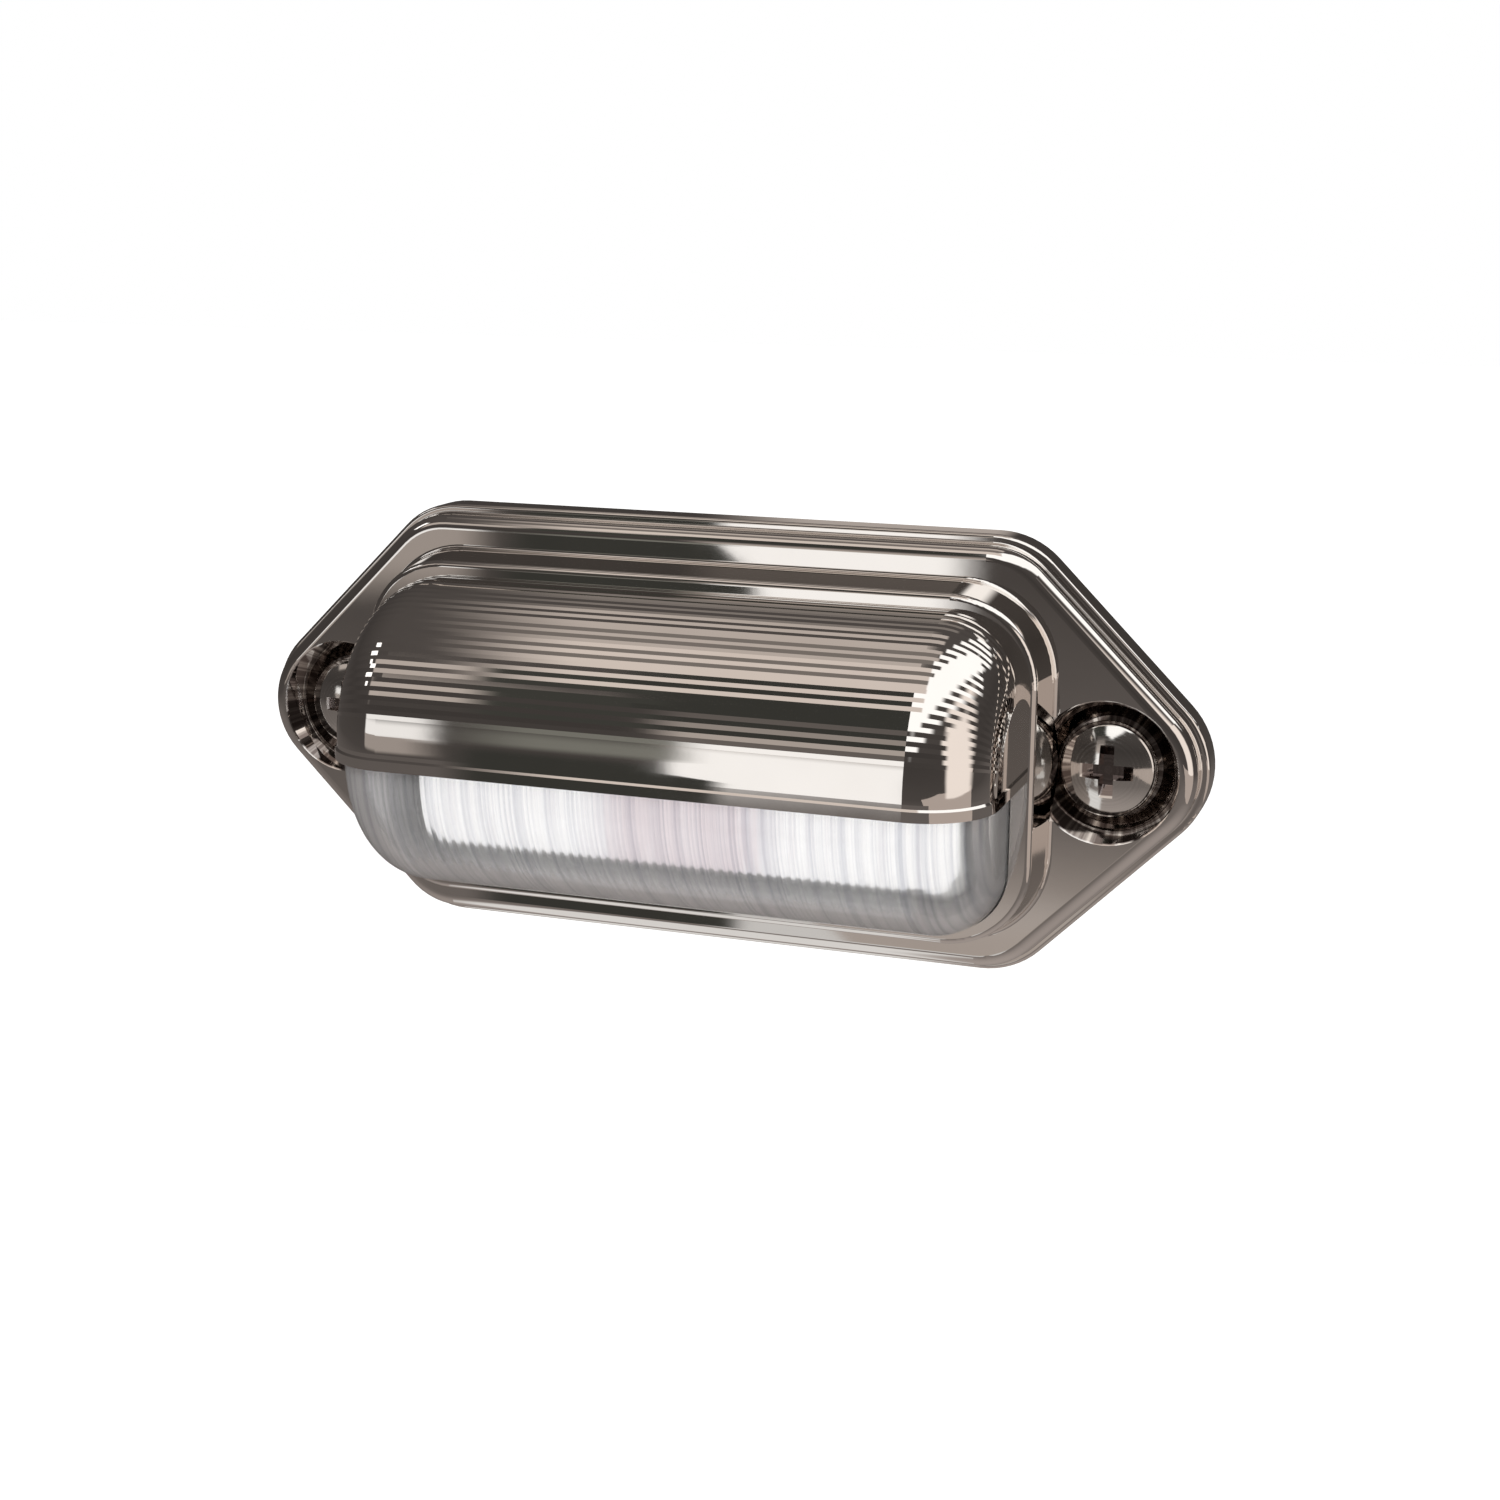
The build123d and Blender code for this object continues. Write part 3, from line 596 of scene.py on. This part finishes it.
def paint_shade(tree, bsdf, where, plain, shaded):
    """Colour of plating that turns from plain to a painted shade colour where a mask is 1."""
    mix = tree.nodes.new("ShaderNodeMix")
    mix.data_type = "RGBA"
    tree.links.new(where, mix.inputs["Factor"])
    tree.links.new(plain, mix.inputs[MIX_FIRST])
    tree.links.new(shaded, mix.inputs[MIX_SECOND])
    tree.links.new(mix.outputs[MIX_RESULT], bsdf.inputs["Base Color"])


def bright_plating():
    """Polished plating, with painted shade in the dished screw seats, broken by painted radial reflection
    streaks.
    """
    material, tree, bsdf = new_finish("bright_plating")
    bsdf.inputs["Metallic"].default_value = 1
    grain = pattern(tree, GRAIN, PLATING_GRAIN)
    tree.links.new(spread(tree, grain, *PLATING_ROUGHNESS), bsdf.inputs["Roughness"])
    relief(tree, bsdf, grain, PLATING_RELIEF)
    aside, y, z, reach = round_screws(tree)
    # Painted shade in the dished screw seats, with painted radial reflection streaks
    inside = fade(tree, reach, DISH_RADIUS + DISH_EDGE, DISH_RADIUS)
    sunk = fade(tree, y, DISH_MOUTH - DISH_EDGE, DISH_MOUTH)
    reflection_streaks = tree.nodes.new("ShaderNodeTexNoise")
    reflection_streaks.noise_dimensions = "1D"
    reflection_streaks.inputs["Scale"].default_value = DISH_REFLECTION_STREAKS
    tree.links.new(figure(tree, "ARCTAN2", z, aside), reflection_streaks.inputs["W"])
    plain = blend_colours(tree, grain, PLATING_TINTS)
    shaded = blend_colours(tree, reflection_streaks.outputs["Fac"], DISH_SHADE_TINTS, *DISH_REFLECTION_RANGE)
    paint_shade(tree, bsdf, figure(tree, "MULTIPLY", inside, sunk), plain, shaded)
    return material


def screw_plating():
    """Plating with turned lines, with painted shade in the cross recess."""
    material, tree, bsdf = new_finish("screw_plating")
    bsdf.inputs["Metallic"].default_value = 1
    low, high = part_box("mounting_screw_right")
    underside = low.y + HEAD_HEIGHT
    rings = pattern(tree, RINGS, SCREW_RINGS, Middle_X=(low.x + high.x) / 2)
    tree.links.new(spread(tree, rings, *SCREW_ROUGHNESS), bsdf.inputs["Roughness"])
    relief(tree, bsdf, rings, SCREW_RELIEF)
    _, y, _, reach = round_screws(tree)
    fall = figure(tree, "MULTIPLY", figure(tree, "MULTIPLY", reach, reach), DOME_FALL)
    depth = figure(tree, "SUBTRACT", figure(tree, "SUBTRACT", y, low.y), fall)
    # Painted shade in the cross recess
    inside = fade(tree, reach, RECESS_REACH + RECESS_EDGE, RECESS_REACH)
    sunk = fade(tree, depth, RECESS_EDGE, 2 * RECESS_EDGE)
    in_head = fade(tree, y, underside, underside - RECESS_EDGE)
    recess_shade = figure(tree, "MULTIPLY", figure(tree, "MULTIPLY", inside, sunk), in_head)
    plain = blend_colours(tree, rings, SCREW_TINTS)
    paint_shade(tree, bsdf, recess_shade, plain, blend_colours(tree, rings, RECESS_SHADE_TINTS))
    return material


def clear_plastic():
    """Clear moulding, a little greyer along its flutes."""
    material, tree, bsdf = new_finish("clear_plastic")
    streaks = pattern(tree, STREAKS, LENS_STREAK_SCALE)
    grain = pattern(tree, GRAIN, LENS_GRAIN)
    tree.links.new(blend_colours(tree, streaks, LENS_TINTS, *LENS_STREAK_RANGE), bsdf.inputs["Base Color"])
    tree.links.new(spread(tree, grain, *LENS_ROUGHNESS), bsdf.inputs["Roughness"])
    bsdf.inputs["Transmission Weight"].default_value = LENS_CLEARNESS
    bsdf.inputs["IOR"].default_value = LENS_IOR
    return material


def lit_panel():
    """White moulding with a painted glow for the emitters' light: brightest by each pair, pinkish between
    them.
    """
    material, tree, bsdf = new_finish("lit_panel")
    _, x, _, _ = object_place(tree)
    away = fade(tree, figure(tree, "ABSOLUTE", x), *PANEL_DIM_REACH)
    uneven = spread(tree, pattern(tree, STREAKS, PANEL_STREAK_SCALE), -PANEL_UNEVEN, PANEL_UNEVEN)
    light = figure(tree, "ADD", away, uneven)
    tree.links.new(blend_colours(tree, light, PANEL_GLOW, 0, 1), bsdf.inputs["Emission Color"])
    bsdf.inputs["Emission Strength"].default_value = LIGHT_STRENGTH
    grain = pattern(tree, GRAIN, PANEL_GRAIN)
    tree.links.new(blend_colours(tree, grain, PANEL_WHITES), bsdf.inputs["Base Color"])
    tree.links.new(spread(tree, grain, *PANEL_ROUGHNESS), bsdf.inputs["Roughness"])
    return material


def emitter_package():
    """White package with a yellow filling in its round cup, both lit."""
    material, tree, bsdf = new_finish("emitter_package")
    _, x, _, z = object_place(tree)
    low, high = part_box("led_1")
    aside = figure(tree, "WRAP", x, EMITTER_PITCH / 2, -EMITTER_PITCH / 2)
    above = figure(tree, "SUBTRACT", z, (low.z + high.z) / 2)
    radius = from_axis(tree, aside, above)
    filling = fade(tree, radius, EMITTER_CUP_RADIUS, EMITTER_CUP_RADIUS - EMITTER_CUP_EDGE)
    tree.links.new(blend_colours(tree, filling, EMITTER_COLOURS, 0, 1), bsdf.inputs["Base Color"])
    tree.links.new(blend_colours(tree, filling, EMITTER_GLOW, 0, 1), bsdf.inputs["Emission Color"])
    bsdf.inputs["Emission Strength"].default_value = LIGHT_STRENGTH
    tree.links.new(spread(tree, filling, *EMITTER_ROUGHNESS, 0, 1), bsdf.inputs["Roughness"])
    return material


def dress(finish, *names):
    for name in names:
        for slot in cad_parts[name].material_slots:
            slot.material = finish


def dress_lamp():
    board = surface(
        "white_mask", GRAIN, scale=1200, colours=[(0.82, 0.83, 0.81), (0.88, 0.89, 0.87)],
        roughness=(0.35, 0.5), depth=0.01 * MM,
    )
    cover = surface(
        "textured_moulding", CELLS, scale=4000, colours=[(0.045, 0.045, 0.048), (0.028, 0.028, 0.03)],
        roughness=(0.5, 0.68), depth=-0.03 * MM,
    )
    foam = surface(
        "closed_cell_foam", CELLS, scale=2200, colours=[(0.03, 0.03, 0.032), (0.085, 0.085, 0.09)],
        roughness=(0.98, 0.85), depth=0.12 * MM,
    )
    silicone = surface(
        "satin_silicone", GRAIN, scale=700, colours=[(0.73, 0.74, 0.74), (0.79, 0.80, 0.80)],
        roughness=(0.4, 0.52), depth=0.01 * MM,
    )
    epoxy = surface(
        "black_epoxy", GRAIN, scale=5000, colours=[(0.032, 0.032, 0.034), (0.05, 0.05, 0.052)],
        roughness=(0.5, 0.65), depth=0.01 * MM,
    )
    amber = surface(
        "amber_epoxy", GRAIN, scale=5000, colours=[(0.60, 0.37, 0.10), (0.70, 0.46, 0.14)],
        roughness=(0.4, 0.55), depth=0.01 * MM,
    )
    tin = surface(
        "tinned_brass", GRAIN, scale=2500, colours=[(0.68, 0.67, 0.64), (0.78, 0.77, 0.74)],
        roughness=(0.25, 0.42), depth=0.01 * MM, metallic=1.0,
    )
    zinc = surface(
        "zinc_plated_steel", CELLS, scale=1600, colours=[(0.64, 0.65, 0.66), (0.52, 0.53, 0.54)],
        roughness=(0.26, 0.42), depth=0.006 * MM, metallic=1.0,
    )
    dress(bright_plating(), "bracket")
    dress(clear_plastic(), "lens")
    dress(lit_panel(), "reflector")
    dress(emitter_package(), *(f"led_{i}" for i in range(1, 5)))
    dress(board, "led_board")
    dress(cover, "back_cover")
    dress(foam, "mounting_gasket")
    dress(silicone, "lens_gasket")
    dress(epoxy, "resistor_1", "resistor_2", "diode", "regulator")
    dress(amber, "capacitor")
    dress(tin, "terminal_positive", "terminal_negative")
    dress(zinc, *(f"cover_screw_{i}" for i in range(1, 5)), "board_screw_left", "board_screw_right")


# New pieces


def pick(obj, test):
    """In edit mode, select the vertices that pass a test, and what lies between them."""
    bpy.ops.mesh.select_mode(type="VERT")
    bpy.ops.mesh.select_all(action="DESELECT")
    mesh = bmesh.from_edit_mesh(obj.data)
    for vertex in mesh.verts:
        vertex.select = test(vertex.co)
    mesh.select_flush(True)
    bmesh.update_edit_mesh(obj.data)


def start_with(primitive, **values):
    """Add a primitive with nothing else selected, and go into edit mode with all of it selected."""
    bpy.ops.object.select_all(action="DESELECT")
    primitive(**values)
    bpy.ops.object.mode_set(mode="EDIT")
    return bpy.context.object


def make_active(*objects):
    bpy.ops.object.select_all(action="DESELECT")
    for obj in objects:
        obj.select_set(True)
    bpy.context.view_layer.objects.active = objects[0]


def finish_piece(piece, finish, node):
    """Smooth the piece, put its place into its mesh and let it stand for a node."""
    make_active(piece)
    bpy.ops.object.transform_apply(location=True, rotation=True, scale=True)
    bpy.ops.object.shade_smooth_by_angle(angle=SMOOTH_ANGLE)
    piece.data.materials.clear()
    piece.data.materials.append(finish)
    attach(piece, "root")
    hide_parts(node)


def thread_ridge(place, start, end):
    """Helical ridge along Y between two depths measured from a place."""
    turns = int((end - start - THREAD_ROOT) / THREAD_PITCH)
    inner = CORE_RADIUS - THREAD_BITE
    ridge = start_with(bpy.ops.mesh.primitive_plane_add, size=1, location=place)
    size = (CREST_RADIUS - inner, THREAD_ROOT, 1)
    bpy.ops.transform.resize(value=size, center_override=place)
    bpy.ops.transform.translate(value=((CREST_RADIUS + inner) / 2, start + THREAD_ROOT / 2, 0))
    crest_middle = (place[0] + CREST_RADIUS, place[1] + start + THREAD_ROOT / 2, 0)
    pick(ridge, lambda co: co.x > CORE_RADIUS)
    bpy.ops.transform.resize(value=(1, THREAD_CREST / THREAD_ROOT, 1), center_override=crest_middle)
    bpy.ops.mesh.select_all(action="SELECT")
    bpy.ops.mesh.delete(type="ONLY_FACE")
    bpy.ops.object.mode_set(mode="OBJECT")
    sweep = ridge.modifiers.new("sweep", "SCREW")
    sweep.axis = "Y"
    sweep.screw_offset = THREAD_PITCH
    sweep.iterations = turns
    sweep.steps = sweep.render_steps = ROUND_STEPS
    bpy.ops.object.modifier_apply(modifier=sweep.name)
    bpy.ops.object.mode_set(mode="EDIT")
    bpy.ops.mesh.select_all(action="SELECT")
    bpy.ops.mesh.remove_doubles(threshold=MERGE_DISTANCE)
    bpy.ops.mesh.fill_holes(sides=4)
    bpy.ops.mesh.normals_make_consistent(inside=False)
    bpy.ops.object.mode_set(mode="OBJECT")
    return ridge


def threaded_shank(x, start, end):
    """Core and ridge from one depth to another, drawn to a point over the tip's length."""
    taper_start = end - TIP_LENGTH
    ridge = thread_ridge((x, taper_start, 0), start - taper_start, TIP_LENGTH)
    core = start_with(
        bpy.ops.mesh.primitive_cylinder_add,
        vertices=ROUND_STEPS,
        radius=CORE_RADIUS,
        depth=taper_start - start,
        location=(x, (start + taper_start) / 2, 0),
        rotation=(-pi / 2, 0, 0),
    )
    pick(core, lambda co: co.z > 0)
    bpy.ops.mesh.extrude_region_move(TRANSFORM_OT_translate={"value": (0, TIP_LENGTH, 0)})
    bpy.ops.object.mode_set(mode="OBJECT")
    make_active(ridge, core)
    bpy.ops.object.join()
    lowest = min(vertex.co.y for vertex in ridge.data.vertices)
    point = ridge.modifiers.new("point", "SIMPLE_DEFORM")
    point.deform_method = "TAPER"
    point.deform_axis = "Y"
    point.factor = TIP_SHARE - 1
    point.limits = (-lowest / (TIP_LENGTH - lowest), 1)
    bpy.ops.object.modifier_apply(modifier=point.name)
    return ridge


def make_mounting_screws(finish):
    """The solids' heads, with flatter domes, and their necks on threaded shanks."""
    low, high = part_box("mounting_screw_left")
    middle = (low.x + high.x) / 2
    shank = threaded_shank(middle, NECK_END, high.y)
    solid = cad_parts["mounting_screw_left"]
    head = bpy.data.objects.new("threaded_screw_left", solid.data.copy())
    bpy.context.scene.collection.objects.link(head)
    make_active(head)
    bpy.ops.object.mode_set(mode="EDIT")
    bpy.ops.mesh.select_all(action="SELECT")
    bpy.ops.mesh.remove_doubles(threshold=MERGE_DISTANCE, use_sharp_edge_from_normals=True)
    pick(head, lambda co: co.y < low.y + HEAD_HEIGHT - RECESS_EDGE)
    bpy.ops.transform.resize(value=(1, DOME_SHARE, 1), center_override=(middle, low.y, 0))
    bpy.ops.mesh.select_all(action="SELECT")
    cut = NECK_END + THREAD_BITE
    bpy.ops.mesh.bisect(plane_co=(0, cut, 0), plane_no=(0, 1, 0), use_fill=True, clear_outer=True)
    bpy.ops.object.mode_set(mode="OBJECT")
    bpy.ops.mesh.customdata_custom_splitnormals_clear()
    make_active(head, shank)
    bpy.ops.object.join()
    finish_piece(head, finish, "mounting_screw_left")
    twin = bpy.data.objects.new("threaded_screw_right", head.data.copy())
    bpy.context.scene.collection.objects.link(twin)
    twin.location.x = -2 * middle
    finish_piece(twin, finish, "mounting_screw_right")


def make_grommet(finish):
    """Rubber inlet: a neck in the cover between two rounded lips, spun from its section."""
    low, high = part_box("wire_grommet")
    flange = high.x
    middle = ((GROMMET_BORE + GROMMET_NECK) / 2, (low.y + high.y) / 2, 0)
    grommet = start_with(bpy.ops.mesh.primitive_plane_add, size=1, location=middle)
    size = (GROMMET_NECK - GROMMET_BORE, high.y - low.y, 1)
    bpy.ops.transform.resize(value=size, center_override=middle)
    bpy.ops.object.mode_set(mode="OBJECT")
    grommet.name = "moulded_grommet"
    bpy.ops.object.transform_apply(location=True, rotation=True, scale=True)
    bpy.ops.object.mode_set(mode="EDIT")
    lip_ends = (low.y + GROMMET_LIP, high.y - GROMMET_LIP)
    for lip_end in lip_ends:
        bpy.ops.mesh.select_all(action="SELECT")
        bpy.ops.mesh.bisect(plane_co=(0, lip_end, 0), plane_no=(0, 1, 0))
    near = GROMMET_LIP / 10
    lips = (lambda y: y < lip_ends[0] + near, lambda y: y > lip_ends[1] - near)
    for in_lip in lips:
        pick(grommet, lambda co: co.x > GROMMET_NECK - near and in_lip(co.y))
        bpy.ops.mesh.extrude_region_move(TRANSFORM_OT_translate={"value": (flange - GROMMET_NECK, 0, 0)})
    bpy.ops.mesh.select_mode(type="EDGE")
    bpy.ops.mesh.select_all(action="SELECT")
    bpy.ops.mesh.region_to_loop()
    bpy.ops.mesh.select_all(action="INVERT")
    bpy.ops.mesh.delete(type="EDGE_FACE")

    def is_rounded(co):
        at_an_end = min(abs(co.y - end) for end in (low.y, high.y)) < near
        return co.x > flange - near or (co.x < GROMMET_BORE + near and at_an_end)

    pick(grommet, is_rounded)
    bpy.ops.mesh.bevel(affect="VERTICES", offset=GROMMET_ROUND, segments=GROMMET_ROUND_STEPS)
    bpy.ops.mesh.select_all(action="SELECT")
    bpy.ops.mesh.spin(steps=ROUND_STEPS, angle=2 * pi, center=(0, 0, 0), axis=(0, 1, 0))
    bpy.ops.mesh.select_all(action="SELECT")
    bpy.ops.mesh.remove_doubles(threshold=MERGE_DISTANCE)
    bpy.ops.mesh.normals_make_consistent(inside=False)
    bpy.ops.object.mode_set(mode="OBJECT")
    finish_piece(grommet, finish, "wire_grommet")


def add_pieces():
    rubber = surface(
        "satin_rubber", GRAIN, scale=1800, colours=[(0.026, 0.026, 0.028), (0.045, 0.045, 0.047)],
        roughness=(0.5, 0.7), depth=0.015 * MM,
    )
    make_mounting_screws(screw_plating())
    make_grommet(rubber)


make_camera()
make_studio()
dress_lamp()
add_pieces()
